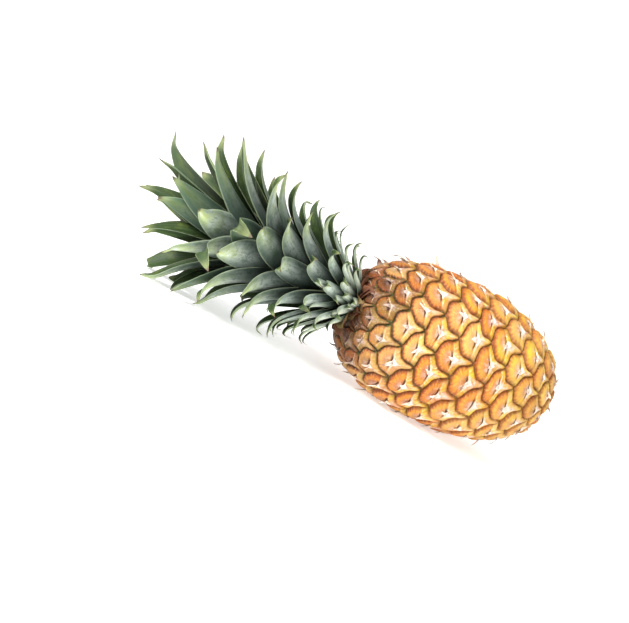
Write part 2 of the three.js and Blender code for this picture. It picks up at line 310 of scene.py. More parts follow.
LAID = lying_matrix()
UP = Vector(LAID[2][:3])
CROWN_STAND = Matrix.Translation((0, 0, FRUIT_LENGTH)) @ Matrix.Rotation(
    math.radians(LEAN), 4, Vector((0, 0, 1)).cross(UP)
)


def to_part(points):
    """Points of the plant's own frame in the part's frame, in metres, none of them sunk."""
    placed = moved(LAID, points)
    placed[:, 2] = np.maximum(placed[:, 2], 0)
    return placed * 0.001


# ---- Meshes ----


def linked(name, data):
    """A new object in the scene."""
    made = bpy.data.objects.new(name, data)
    bpy.context.collection.objects.link(made)
    return made


def smooth_mesh(name, material, points, faces):
    mesh = bpy.data.meshes.new(name)
    mesh.from_pydata(points.tolist(), [], faces)
    mesh.polygons.foreach_set("use_smooth", np.ones(len(mesh.polygons), bool))
    mesh.materials.append(material)
    return mesh


def make_piece(name, material, points, faces, key=None, places=(), looks=()):
    """A piece with a smooth mesh. With a key, the UV map of that name holds the places of the
    faces' corners, and the attribute of that name and "_look" holds a vector for each face."""
    mesh = smooth_mesh(name, material, points, faces)
    if key:
        layer = mesh.uv_layers.new(name=key)
        layer.uv.foreach_set("vector", np.asarray(places, np.float32).ravel())
        attribute = mesh.attributes.new(key + "_look", "FLOAT_VECTOR", "FACE")
        attribute.data.foreach_set("vector", np.asarray(looks, np.float32).ravel())
    mesh.update()
    piece = linked(name, mesh)
    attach(piece, "root")
    return piece


def shifted(faces, base):
    """Faces whose points start at base."""
    return [tuple(base + n for n in face) for face in faces]


def tube_faces(rings, sides):
    """The faces of a tube of so many rings with so many points each, and of its two flat ends."""
    faces = []
    for low in range(0, (rings - 1) * sides, sides):
        high = low + sides
        for m in range(sides):
            n = (m + 1) % sides
            faces.append((low + m, low + n, high + n, high + m))
    faces.append(tuple(reversed(range(sides))))
    faces.append(tuple((rings - 1) * sides + m for m in range(sides)))
    return faces


def turned(profile, segments, matrix):
    """Points and faces of a profile of (radius, height) rows turned round the axis."""
    points = []
    for r, z in profile:
        for k in range(segments):
            angle = 2 * math.pi * k / segments
            points.append((r * math.cos(angle), r * math.sin(angle), z))
    return moved(matrix, np.array(points, float)), tube_faces(len(profile), segments)


def open_loops(quads):
    """The edges that only one face has, each in that face's direction."""
    starts = quads.ravel()
    ends = np.roll(quads, -1, axis=1).ravel()
    known = set(zip(ends.tolist(), starts.tolist()))
    return [edge for edge in zip(starts.tolist(), ends.tolist()) if edge not in known]


# ---- The rind ----


def cell_place(share):
    """Where a mesh line lies across its eye, for its share of the eye's lines."""
    return share - EDGE_CROWDING * np.sin(2 * math.pi * share) / (2 * math.pi)


def cell_corners(i, j):
    """The mesh lines at the corners of the cells that start at lines i and j."""
    return np.stack([i, j, i, j + 1, i + 1, j + 1, i + 1, j], -1).reshape(-1, 2)


def rind():
    """The fruit's skin, one grid of cells for each eye, and each cell's place in its eye."""
    steps = EYE_STEPS
    eyes = np.arange(-EYES_BEYOND, EYE_COUNT + EYES_BEYOND)
    first_a, first_b = on_spirals(eyes)
    u, v = np.meshgrid(np.arange(steps), np.arange(steps), indexing="ij")
    u, v = u.ravel(), v.ravel()
    i = first_a[:, None] * steps + u
    j = first_b[:, None] * steps + v
    corners = cell_corners(i, j)
    # 13 eyes along one family and 8 back along the other is once round the fruit.
    rounds = corners[:, 1:] // (8 * steps)
    keys = corners + rounds * [13 * steps, -8 * steps]
    places, quads = np.unique(keys, axis=0, return_inverse=True)
    quads = quads.reshape(-1, 4)
    place = places // steps + cell_place(places % steps / steps) - 0.5
    points = rind_point(place[:, 0], place[:, 1])
    points[:, 2] = np.clip(points[:, 2], 0, FRUIT_LENGTH)
    inside = np.tile(cell_place(cell_corners(u, v) / steps), (len(eyes), 1))
    random = np.random.default_rng(SEED)
    look = np.stack([random.random(len(eyes)), eyes / EYE_COUNT, random.random(len(eyes))], -1)
    look = np.repeat(look, steps * steps, axis=0)
    return points, quads, inside, look


def closed_ends(points, quads):
    """The faces that close the rind's two ends, as fans round two points on the axis."""
    rims = {True: [], False: []}
    for start, end in open_loops(quads):
        rims[bool(points[start, 2] > FRUIT_LENGTH / 2)].append((start, end))
    fans = []
    middles = []
    for top, rim in rims.items():
        middles.append((0, 0, FRUIT_LENGTH if top else 0))
        middle = len(points) + len(middles) - 1
        fans += [(end, start, middle) for start, end in rim]
    return np.array(middles, float), fans


def make_fruit():
    points, quads, inside, look = rind()
    middles, fans = closed_ends(points, quads)
    faces = quads.tolist() + fans
    spare = len(fans)
    inside = np.concatenate([inside, np.full((3 * spare, 2), END_PLACE)])
    look = np.concatenate([look, np.tile([[0.5, 0.5, 0.5]], (spare, 1))])
    placed = to_part(np.concatenate([points, middles]))
    piece = make_piece("rind", rind_material(), placed, faces, "eye", inside, look)
    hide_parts("fruit")


# ---- The dry tips of the bracts ----

TIP_RINGS = 5
TIP_BODY = 0.09  # radius of the star without its arms, in eye widths
TIP_ARMS = 4
TIP_FAN = [-38, -20, -8, 0, 8, 20, 38]  # degrees from an arm's line to the mesh lines beside it
TIP_THICKNESS = 0.3
TIP_SHIFT = 0.05  # from the slit to the star's middle
LIP_SHIFT = 0.09  # from the slit to the place whose height the free point starts from
TIP_FLOOR = 0.15  # how high the lowest tips lie over the surface


def tip_outline(draws):
    """The directions of a dry tip's mesh lines and how far each reaches, in eye widths. A
    direction of 0 points to the tail, pi to the crown."""
    arms = [
        (math.pi + 0.35 * draws[0], 0.17, 0.5 + 0.12 * draws[1]),
        (1.75 + 0.25 * draws[2], 0.13, 0.38 + 0.18 * draws[3]),
        (-1.75 + 0.25 * draws[4], 0.13, 0.38 + 0.18 * draws[5]),
        (0.4 * draws[2], 0.2, 0.32 + 0.12 * draws[6]),
    ]
    turn = np.sort([at + math.radians(fan) for at, _, _ in arms for fan in TIP_FAN])
    reach = np.full(len(turn), TIP_BODY)
    for at, half_width, length in arms:
        away = np.abs((turn - at + math.pi) % (2 * math.pi) - math.pi)
        straight = 1 / (np.cos(away) / length + np.sin(away) / half_width)
        reach = np.maximum(reach, np.where(away < math.pi / 2, straight, 0))
    return turn, reach


def tip_surface(eye, draws):
    """The points of a dry tip's upper and under side, and their places down and to the side."""
    turn, reach = tip_outline(draws)
    rings = np.linspace(0, 1, TIP_RINGS + 1)[1:, None]
    size = 0.92 + 0.17 * draws[7]
    down = np.concatenate([[0.0], (rings * reach * np.cos(turn)).ravel()]) * size
    side = np.concatenate([[0.0], (rings * reach * np.sin(turn)).ravel()]) * size
    free = np.clip(-down / 0.4, 0, 1.3)  # 0 where the tip lies on the bract
    lift = 1.1 + 0.6 * draws[1] + 4.4 * max(0, draws[8]) ** 2.4
    height = 0.25 + lift * free**1.4 + 0.25 * np.sin(7 * side) * free
    side = side + 0.1 * draws[2] * free**2
    a, b = on_spirals(eye)
    place_a = a + (SLIT + TIP_SHIFT + down + side) / 2
    place_b = b + (SLIT + TIP_SHIFT + down - side) / 2
    flat = rind_point(place_a, place_b)
    top = rind_point(place_a, place_b, height + 0.7 * free)
    # Over the slit the tip bridges the gap, so it starts from the bract's height.
    lip_at = (SLIT + LIP_SHIFT) / 2
    lip = rind_point(np.array([a + lip_at]), np.array([b + lip_at]))
    outward = unit(lip * [1, 1, 0])
    deficit = np.clip(((lip - flat) * outward).sum(-1), 0, 2.2)[:, None]
    over = np.clip(free * 3, 0, 1)[:, None]
    upper = top + outward * deficit * over * 0.8
    return upper, upper - outward * TIP_THICKNESS, np.stack([down, side], -1)


def star_faces(rays):
    """The faces of a thin star: its upper side, its under side and the edge between them."""
    under = 1 + TIP_RINGS * rays

    def corner(k, m):
        return 1 + k * rays + m % rays

    faces = []
    for m in range(rays):
        faces.append((0, corner(0, m), corner(0, m + 1)))
        faces.append((under, under + corner(0, m + 1), under + corner(0, m)))
        for k in range(TIP_RINGS - 1):
            p, q = corner(k, m), corner(k + 1, m)
            r, s = corner(k + 1, m + 1), corner(k, m + 1)
            faces.append((p, q, r, s))
            faces.append((under + s, under + r, under + q, under + p))
        p, q = corner(TIP_RINGS - 1, m), corner(TIP_RINGS - 1, m + 1)
        faces.append((q, p, under + p, under + q))
    return faces


def make_bract_tips():
    """The papery star on every eye: its long point is free and bends up, its other arms lie on
    the bract's edge."""
    draw = random_signed(SEED + 1)
    star = star_faces(TIP_ARMS * len(TIP_FAN))
    star_corners = [n for face in star for n in face]
    points, faces, inside, look = [], [], [], []
    for eye in range(-2, EYE_COUNT + 1):
        draws = [draw() for _ in range(9)]
        upper, under, places = tip_surface(eye, draws)
        if upper[:, 2].max() > FRUIT_LENGTH + 1 or upper[:, 2].min() < -1:
            continue
        faces += shifted(star, sum(len(p) for p in points))
        points += [upper, under]
        inside.append(np.concatenate([places, places])[star_corners])
        look += [(draws[7] * 0.5 + 0.5, eye / EYE_COUNT, draws[8] * 0.5 + 0.5)] * len(star)
    placed = moved(LAID, np.concatenate(points))
    placed[:, 2] = np.maximum(placed[:, 2], TIP_FLOOR)
    inside = np.concatenate(inside)
    paper = bract_tip_material()
    piece = make_piece("bract_tips", paper, placed * 0.001, faces, "tip", inside, look)


# ---- The crown ----


def leaf_list():
    """The leaves' sizes and directions, from the lowest to the innermost."""
    draw = random_signed(SEED)
    leaves = []
    for i in range(LEAF_COUNT):
        share = i / (LEAF_COUNT - 1)
        leaf = {key: np.interp(share, LEAF_SHARE, values) for key, values in LEAF_ROWS.items()}
        leaf["share"] = share
        stray = max(0, draw()) ** 5
        leaf["angle"] = math.radians(FIRST_LEAF_ANGLE - GOLDEN_TURN * i + 3 * draw())
        leaf["tip"] *= 1 + 0.06 * draw()
        leaf["reach"] *= 1 + 0.08 * draw() + SPRAWL * stray
        leaf["width"] *= 1 + 0.06 * draw()
        leaf["rise"] = math.radians(leaf["rise"] + 2 * draw())
        leaf["bow"] = math.radians(leaf["bow"] + 11 * draw() + 25 * stray)
        leaf["sway"] = 0.09 * draw()
        leaf["twist"] = math.radians(18 * draw())
        leaves.append(leaf)
    return leaves


def core_radius(height):
    return mix(CORE_FOOT_RADIUS, CORE_TOP_RADIUS, height / CORE_LENGTH)


def leaf_spine(leaf, t):
    """Points and directions of a leaf's middle line, in its own upright plane."""
    root = np.array([core_radius(leaf["foot"]) * 0.5, 0, leaf["foot"] - 3])
    tip = np.array([leaf["reach"], 0, leaf["tip"]])
    pull = np.linalg.norm(tip - root)
    tip[1] = leaf["sway"] * pull

    def toward(angle, size):
        return np.array([math.sin(angle), 0, math.cos(angle)]) * size

    near_root = root + toward(leaf["rise"], pull * 0.42)
    near_tip = tip - toward(leaf["bow"], pull * 0.3)
    t = t[:, None]
    u = 1 - t
    points = u**3 * root + 3 * t * u**2 * near_root + 3 * t**2 * u * near_tip + t**3 * tip
    forward = u**2 * (near_root - root) + 2 * t * u * (near_tip - near_root)
    return points, unit(forward + t**2 * (tip - near_tip))


def blade_shape(t):
    return 0.5 * (1 - t**3.5) ** 0.78 * (0.7 + 0.33 * np.sin(math.pi * t))


def folded_back(rings, t, at, angle, hinge, axis):
    """A blade's rings, with its tip past the place called at folded over to the outer face."""
    turn = (angle * smooth(t, at, at + 0.06))[:, None, None]
    arm = rings - hinge
    along_axis = (arm @ axis)[..., None] * axis
    crossed = np.cross(axis, arm)
    return hinge + arm * np.cos(turn) + crossed * np.sin(turn) + along_axis * (1 - np.cos(turn))


def blade_places():
    """Where a blade's mesh lines lie: along it, closer together by its tip, and across it."""
    steps = np.linspace(0, 1, BLADE_STEPS + 1)
    along = 1 - (1 - steps) ** 1.35
    along[-1] = 1
    return along, np.linspace(-1, 1, BLADE_SPOTS)


def blade_rings(leaf, draw, t, s):
    """A blade's points, a ring for each place t along it: across its inner face at the places s
    and back across its outer face. It is a smooth channel, open towards the axis."""
    spine, forward = leaf_spine(leaf, t)
    twist = (leaf["twist"] * t * t)[:, None]
    across = np.array([0.0, 1.0, 0.0])
    side = (
        across * np.cos(twist)
        + np.cross(forward, across) * np.sin(twist)
        + forward * forward[:, 1:2] * (1 - np.cos(twist))
    )
    inner = unit(np.cross(forward, side))
    side = np.cross(inner, forward)
    hook = smooth(t, 0.86, 1)
    spine = spine + side * (hook * 3 * draw())[:, None]
    spine = spine + inner * (hook * (3.2 * draw() - 1))[:, None]

    spread = FOOT_SPREAD * (1 - smooth(t, 0, 0.45)) if leaf["width"] < NARROW else 0
    half = np.maximum(leaf["width"] * blade_shape(t) * BLADE_SWELL + spread, 0.25)
    fold = np.radians(mix(CLASP, FOLD, smooth(t, 0, 0.35)))
    rounded = np.sqrt(s * s + CHANNEL_ROUNDING) - math.sqrt(CHANNEL_ROUNDING)
    channel = rounded / rounded[-1]
    wave = 0.05 * np.sin(9 * t + 3 * draw())[:, None] * np.sign(s) * s * s
    wide = (half * np.cos(fold))[:, None] * s
    deep = (half * np.sin(fold))[:, None] * channel + half[:, None] * wave
    thick = (BLADE_EDGE + BLADE_BODY * (1 - s * s) ** 0.8) * mix(1, 0.45, t)[:, None]
    thick *= np.clip(half / 3, 0.25, 1)[:, None]

    inside = spine[:, None] + side[:, None] * wide[..., None] + inner[:, None] * deep[..., None]
    outside = inside - inner[:, None] * thick[..., None]
    rings = np.concatenate([inside, outside[:, ::-1]], axis=1)
    if "fold_at" in leaf:
        k = int(np.searchsorted(t, leaf["fold_at"]))
        rings = folded_back(rings, t, t[k], leaf["fold_angle"], spine[k], side[k])
    return rings


def blade_faces(t, s):
    """A blade's faces, the places across and along it of their corners, and for each face 1 if
    it is on the outer side and else 0."""
    sides = 2 * len(s)
    place = np.concatenate([s, s[::-1]]) * 0.5 + 0.5
    faces = tube_faces(len(t), sides)
    corners = [(place[n % sides], t[n // sides]) for face in faces for n in face]
    outer = [1.0 if len(s) - 1 <= m < sides - 1 else 0.0 for m in range(sides)]
    return faces, corners, outer * (len(t) - 1) + [0.0, 0.0]


def stand_off_surface(points, sides):
    """Lifts each ring that comes near the surface, so that the blade lies along it."""
    placed = moved(LAID, points).reshape(-1, sides, 3)
    lowest = placed[..., 2].min(axis=1)
    lifted = np.where(lowest < LEAF_SPRING, LEAF_SPRING * np.exp(lowest / LEAF_SPRING - 1), lowest)
    placed[..., 2] += (lifted - lowest)[:, None]
    return placed.reshape(-1, 3) * 0.001


def join_blades(leaves, seed):
    """One mesh of many blades, with the map and the looks that its material reads."""
    draw = random_signed(seed)
    along, across = blade_places()
    blade, corners, outer = blade_faces(along, across)
    points, faces, look = [], [], []
    for i, leaf in enumerate(leaves):
        rings = blade_rings(leaf, draw, along, across)
        turn = CROWN_STAND @ Matrix.Rotation(leaf["angle"], 4, "Z")
        points.append(stand_off_surface(moved(turn, rings.reshape(-1, 3)), rings.shape[1]))
        faces += shifted(blade, i * len(points[0]))
        shade = draw() * 0.5 + 0.5
        look += [(shade, leaf["share"], flag) for flag in outer]
    return np.concatenate(points), faces, corners * len(leaves), look


def drawn_leaf(draw, share, foot, **sizes):
    """A leaf with draws for its sizes, each of which is given as its usual value and how far a
    draw may take it from there."""
    leaf = {"share": share, "foot": foot}
    for key, (usual, stray) in {**sizes, "sway": (0, 0.14), "twist": (0, 30)}.items():
        value = usual + stray * draw()
        leaf[key] = math.radians(value) if key in ("angle", "rise", "bow", "twist") else value
    return leaf


def slender_leaf(i, draw):
    """One of the thin curled leaves that grow between the lowest ones."""
    up = i / (SLENDER_COUNT - 1)
    return drawn_leaf(
        draw,
        share=0.02 + 0.2 * up,
        foot=1 + 9 * up,
        angle=(20 - GOLDEN_TURN * i, 14),
        tip=(13 + 34 * up, 4),
        reach=(38 + 14 * up, 4),
        width=(5, 0.8),
        rise=(70 - 22 * up, 8),
        bow=(152, 14),
    )


def neck_bract(i, draw):
    """One of the short dry bracts that the crown stands in."""
    return drawn_leaf(
        draw,
        share=0,
        foot=1.5,
        angle=(40 - GOLDEN_TURN * i, 8),
        tip=(1.5, 3.5),
        reach=(27, 4),
        width=(11.5, 1.5),
        rise=(70, 6),
        bow=(118, 16),
    )


def fold_some_tips(leaves):
    """Marks a few leaves of the crown's middle to be folded over at their tips."""
    draw = random_signed(SEED + 9)
    for leaf in leaves:
        chance, place, angle = draw(), draw(), draw()
        if FOLDED_SHARES[0] < leaf["share"] < FOLDED_SHARES[1] and chance > FOLD_CHANCE:
            leaf["fold_at"] = FOLD_PLACE + 0.05 * place
            leaf["fold_angle"] = FOLD_ANGLE + 0.5 * angle


def make_crown():
    leaves = leaf_list()
    fold_some_tips(leaves)
    draw = random_signed(SEED + 6)
    leaves += [slender_leaf(i, draw) for i in range(SLENDER_COUNT)]
    points, faces, corners, look = join_blades(leaves, SEED + 2)
    profile = [
        (CORE_FOOT_RADIUS, GAP),
        (core_radius(CORE_LENGTH * 0.5), CORE_LENGTH * 0.5),
        (CORE_TOP_RADIUS, CORE_LENGTH),
        (0.5, CORE_LENGTH + 3),
    ]
    core_points, core_faces = turned(profile, CORE_SEGMENTS, LAID @ CROWN_STAND)
    faces += shifted(core_faces, len(points))
    points = np.concatenate([points, core_points * 0.001])
    corners += [(0.5, 0.02)] * sum(len(face) for face in core_faces)
    look += [(0.5, 0.5, 0.0)] * len(core_faces)
    piece = make_piece("leaves", leaf_material(), points, faces, "leaf", corners, look)
    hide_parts("crown")


def make_neck_bracts():
    draw = random_signed(SEED + 3)
    leaves = [neck_bract(i, draw) for i in range(NECK_BRACT_COUNT)]
    points, faces, corners, look = join_blades(leaves, SEED + 4)
    piece = make_piece("neck_bracts", dry_leaf_material(), points, faces, "leaf", corners, look)


# ---- The cut stalk ----

STALK_SEGMENTS = 72
STALK_FIBRES = (9, 14, 23, 31)  # the waves round the stub that roughen its rim
SCALE_ROWS = 9
SCALE_SPOTS = 7
CUT_FACE = 0.0905  # where the cut face begins, in the part's x


def stalk_scale(draw):
    """The points, ring by ring, of a small curled bract that leans out under the fruit."""
    t = np.linspace(0, 1, SCALE_ROWS)[:, None]
    s = np.linspace(-1, 1, SCALE_SPOTS)
    length = 6.5 + 1.2 * draw()
    half = 4.2 + 0.6 * draw()
    curl = 0.5 + 0.25 * draw()
    width = half * (1 - t**2.2) ** 0.8 + 0.12
    x = width * s + 0.5 * draw() * t
    out = STALK_RADIUS + 0.6 + 3.6 * t + 2.4 * curl * t**2 - 0.07 * (width * s) ** 2
    up = np.minimum(-STALK_LENGTH + 0.9 + length * t * (1 - 0.35 * t), -GAP - 0.35)
    outside = np.stack(np.broadcast_arrays(x, out, up), -1)
    inside = outside - [0, 0.7, 0] * (1 - 0.6 * t)[..., None]
    return np.concatenate([outside, inside[:, ::-1]], axis=1).reshape(-1, 3)


def make_stalk():
    """The stub of the stalk: a fibrous rim round a cut face, a collar where it leaves the fruit,
    and dry bracts round it."""
    draw = random_signed(SEED + 5)
    profile = [
        (0.01, -STALK_LENGTH + 0.5),
        (3, -STALK_LENGTH + 0.4),
        (6.5, -STALK_LENGTH + 0.1),
        (9.3, -STALK_LENGTH - 0.3),
        (STALK_RADIUS - 1.1, -STALK_LENGTH - 0.7),
        (STALK_RADIUS - 0.4, -STALK_LENGTH - 0.3),
        (STALK_RADIUS, -STALK_LENGTH + 0.8),
        (STALK_RADIUS + 0.1, -4),
        (STALK_RADIUS + 0.3, -2.6),
        (COLLAR_RADIUS - 1, -COLLAR - 0.3),
        (COLLAR_RADIUS, -COLLAR + 0.3),
        (COLLAR_RADIUS, -GAP),
    ]
    points, faces = turned(profile, STALK_SEGMENTS, Matrix.Identity(4))
    angle = np.arctan2(points[:, 1], points[:, 0])
    radius = np.hypot(points[:, 0], points[:, 1])
    phases = [3 * draw() for _ in STALK_FIBRES]
    ridges = sum(np.sin(n * angle + p) for n, p in zip(STALK_FIBRES, phases)) * 0.13
    rim = smooth(radius, 8, 12)
    points[:, 0] += np.cos(angle) * ridges * rim
    points[:, 1] += np.sin(angle) * ridges * rim
    points[:, 2] -= 0.6 * rim * np.clip(ridges + 0.1, 0, 1) * (points[:, 2] < -STALK_LENGTH + 1)
    scale_faces = tube_faces(SCALE_ROWS, 2 * SCALE_SPOTS)
    for i in range(STALK_BRACTS):
        spin = np.array(Matrix.Rotation(math.radians(i * GOLDEN_TURN), 3, "Z"))
        faces += shifted(scale_faces, len(points))
        points = np.concatenate([points, stalk_scale(draw) @ spin.T])
    faces = [tuple(reversed(face)) for face in faces]
    piece = make_piece("stalk_stub", stalk_material(), moved(LAID, points) * 0.001, faces)
    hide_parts("cut_stalk")


# ---- Materials ----


def colour(code):
    """A colour for a socket, from its usual six-digit code."""
    parts = [int(code[i : i + 2], 16) / 255 for i in (0, 2, 4)]
    linear = [p / 12.92 if p <= 0.04045 else ((p + 0.055) / 1.055) ** 2.4 for p in parts]
    return (*linear, 1)


class Shader:
    """A Principled material whose inputs are worked out by small node expressions. A value is a
    number, a socket or the six-digit code of a colour."""

    def __init__(self, name, roughness, specular=0.5):
        self.material = bpy.data.materials.new(name)
        self.material.use_nodes = True
        self.tree = self.material.node_tree
        self.surface = self.tree.nodes["Principled BSDF"]
        self.surface.inputs["Roughness"].default_value = roughness
        self.surface.inputs["Specular IOR Level"].default_value = specular

    def put(self, socket, value):
        if isinstance(value, bpy.types.NodeSocket):
            self.tree.links.new(value, socket)
        else:
            socket.default_value = colour(value) if isinstance(value, str) else value

    def node(self, kind, given=(), **settings):
        """The outputs of a new node. given holds pairs of an input's name or number and value."""
        made = self.tree.nodes.new(kind)
        for key, value in settings.items():
            setattr(made, key, value)
        for key, value in given:
            self.put(made.inputs[key], value)
        return made.outputs

    def math(self, operation, *values):
        return self.node("ShaderNodeMath", enumerate(values), operation=operation)[0]

    add = partialmethod(math, "ADD")
    sub = partialmethod(math, "SUBTRACT")
    least = partialmethod(math, "MINIMUM")
    most = partialmethod(math, "MAXIMUM")
    size = partialmethod(math, "ABSOLUTE")

    def times(self, product, *factors):
        for factor in factors:
            product = self.math("MULTIPLY", product, factor)
        return product

    def smooth(self, value, low, high, start=0, end=1):
        """A smooth step from start at low to end at high."""
        given = enumerate((value, low, high, start, end))
        return self.node("ShaderNodeMapRange", given, interpolation_type="SMOOTHSTEP")[0]

    def blend(self, factor, a, b, kind="MIX"):
        given = ((0, factor), (6, a), (7, b))
        return self.node("ShaderNodeMix", given, data_type="RGBA", blend_type=kind)[2]

    def layers(self, base, *coats):
        """A colour under coats, which are pairs of how thickly each lies and its colour."""
        for cover, coat in coats:
            base = self.blend(cover, base, coat)
        return base

    def split(self, vector):
        return self.node("ShaderNodeSeparateXYZ", [(0, vector)])

    def vector(self, x, y, z):
        return self.node("ShaderNodeCombineXYZ", enumerate((x, y, z)))[0]

    def uv(self, name):
        return self.split(self.node("ShaderNodeUVMap", uv_map=name)[0])

    def attribute(self, name):
        return self.split(self.node("ShaderNodeAttribute", attribute_name=name)["Vector"])

    def place(self):
        return self.node("ShaderNodeTexCoord")["Object"]

    def noise(self, vector, scale, detail=3, roughness=0.5, distortion=0):
        names = ("Vector", "Scale", "Detail", "Roughness", "Distortion")
        given = zip(names, (vector, scale, detail, roughness, distortion))
        return self.node("ShaderNodeTexNoise", given)[0]

    def streaks(self, values, stretch, *settings):
        """Noise over three values, each times its own number of stretch."""
        return self.noise(self.vector(*map(self.times, values, stretch)), *settings)

    def bump(self, height, strength, distance):
        given = (("Height", height), ("Strength", strength), ("Distance", distance))
        self.put(self.surface.inputs["Normal"], self.node("ShaderNodeBump", given)[0])

    def finish(self, colour, roughness=None):
        self.put(self.surface.inputs["Base Color"], colour)
        if roughness is not None:
            self.put(self.surface.inputs["Roughness"], roughness)
        return self.material


def rind_values(s):
    """The values that the colours of the rind are worked out from."""
    at = SimpleNamespace()
    at.a, at.b, _ = s.uv("eye")
    at.luck, at.along, at.luck_2 = s.attribute("eye_look")
    at.place = s.place()
    at.down = s.sub(s.add(at.a, at.b), 1)
    at.side = s.sub(at.a, at.b)
    at.side_size = s.size(at.side)
    at.side_square = s.times(at.side, at.side)
    at.coarse = s.noise(at.place, 60)
    at.medium = s.noise(at.place, 240, 4, 0.6)
    at.fine = s.noise(at.place, 1100, 3, 0.6)
    at.shake = s.times(s.sub(at.medium, 0.5), 0.14)
    at.turn = s.math("ARCTAN2", at.side, s.add(at.down, 0.18))
    at.corner = s.smooth(s.add(at.side_size, s.times(at.coarse, 0.25)), 0.72, 1)
    # How far from the line of the slit, towards the bract, and how far from the dry tip.
    slit_line = s.sub(SLIT, s.times(at.side_square, SLIT_BEND))
    at.past = s.add(s.sub(at.down, slit_line), s.times(at.shake, 0.5))
    down_square = s.math("POWER", s.sub(at.down, 0.2), 2)
    at.from_tip = s.math("SQRT", s.add(s.times(down_square, 3.4), s.times(at.side_square, 5)))
    return at


def sepal_colour(s, at):
    """Pinkish by the dry tip, orange in the middle, brown at the rim, which is partly the sepal's
    own colour and partly painted shade. Also gives the creases.
    """
    down_square = s.math("POWER", s.add(at.down, 0.14), 2)
    from_middle = s.math("SQRT", s.add(s.times(down_square, 1.7), s.times(at.side_square, 2.4)))
    shaken = s.add(from_middle, at.shake)
    creases = s.streaks((at.turn, from_middle, at.luck), (1.9, 0.5, 8), 3.4, 5, 0.75, 0.4)
    towards_rim = s.smooth(from_middle, 0.2, 0.85, 0.25, 0.8)
    sepal = s.layers(
        s.blend(s.smooth(shaken, 0.22, 0.55), "B4744C", "DC8A1A"),
        # Dark brown towards the rim: partly the sepal's own colour, partly painted shade where the
        # dome falls away.
        (s.smooth(shaken, 0.66, 1, 0, 0.85), "7A320A"),
        (s.smooth(at.coarse, 0.45, 0.7, 0, 0.4), "BE6018"),
        (s.times(s.smooth(creases, 0.5, 0.62), towards_rim), "7E2E0C"),
        (s.smooth(creases, 0.3, 0.46, 0.65, 0), "F0BC6C"),
    )
    return sepal, creases


def bract_colour(s, at):
    """Pale by the dry tip, golden at its edges, green in its corners. Also gives the fibres."""
    fan = s.math("ARCTAN2", at.side, s.add(at.down, 0.3))
    fibres = s.streaks((fan, at.down, at.luck), (2.4, 0.5, 9), 3.4, 5, 0.75, 0.3)
    rosy = s.noise(at.place, 130, 2)
    bract = s.layers(
        s.blend(s.smooth(s.add(at.from_tip, at.shake), 0.2, 0.7), "E8BC9C", "E0B418"),
        (s.smooth(at.coarse, 0.45, 0.65, 0, 0.45), "C98A34"),
        (s.smooth(rosy, 0.46, 0.58, 0, 0.6), "D68E6A"),
        (s.smooth(fibres, 0.51, 0.62, 0, 0.75), "A0561E"),
        (s.smooth(fibres, 0.36, 0.46, 0.85, 0), "F6E4A8"),
        (s.times(at.corner, s.smooth(at.along, 0.1, 0.9, 0.9, 0.3)), "66761A"),
    )
    return bract, fibres


def ripened(s, at, skin):
    """Olive and brown by the neck, darker there also with painted shade from the crown; yellower
    and brighter towards the base, partly as painted light; and each eye a little different.
    """
    # Darker by the neck: less ripe olive skin, and painted shade from the crown.
    neck_olive_and_shade = s.smooth(s.add(at.along, s.times(at.coarse, 0.2)), 0.14, 0.52, 1, 0)
    # Yellower and brighter towards the base: riper skin, and painted light.
    base_yellow_and_light = s.smooth(s.add(at.along, s.times(at.luck, 0.25)), 0.5, 1.05)
    patches = s.noise(at.place, 42, 2)
    ripe = s.times(s.smooth(patches, 0.52, 0.66), s.smooth(at.along, 0.35, 0.8, 0.15, 0.6))
    gold = s.smooth(patches, 0.34, 0.46, 1, 0)
    gold = s.times(gold, s.smooth(at.along, 0.35, 0.8, 0.1, 0.6))
    return s.layers(
        s.blend(neck_olive_and_shade, skin, "64522C", "MULTIPLY"),
        (s.times(base_yellow_and_light, 0.55), "F8D468"),
        (ripe, "DC7A1C"),
        (gold, "EBC42E"),
        (s.smooth(at.luck_2, 0.4, 1, 0, 0.3), "A8541A"),
        (s.smooth(at.luck, 0.6, 1, 0, 0.25), "EBC680"),
    )


def with_dry_middle(s, at, skin):
    """The bract's pale edge, papery patches round the dry tip, and painted shade in the slit under
    it.
    """
    pale_edge = s.times(
        s.smooth(s.size(s.sub(at.past, 0.05)), 0, 0.06, 1, 0),
        s.smooth(at.side_size, 0.3, 0.8, 1, 0),
        s.smooth(at.medium, 0.4, 0.6, 0.25, 1),
        s.smooth(at.fine, 0.35, 0.6, 0.35, 0.85),
    )
    papery = s.times(
        s.smooth(at.from_tip, 0.4, 1.2, 1, 0),
        s.smooth(at.medium, 0.45, 0.56),
        s.smooth(at.along, 0.05, 0.6, 0.15, 0.85),
    )
    # Painted shade: the slit under the dry tip is darkened to a deep brown.
    slit = s.smooth(s.size(s.add(at.past, 0.07)), 0.02, 0.095, 1, 0)
    slit = s.times(slit, s.smooth(at.side_size, 0.2, 0.5, 1, 0), 0.92)
    return s.layers(skin, (pale_edge, "F3DDC0"), (papery, "F2D4C6"), (slit, "3A180C"))


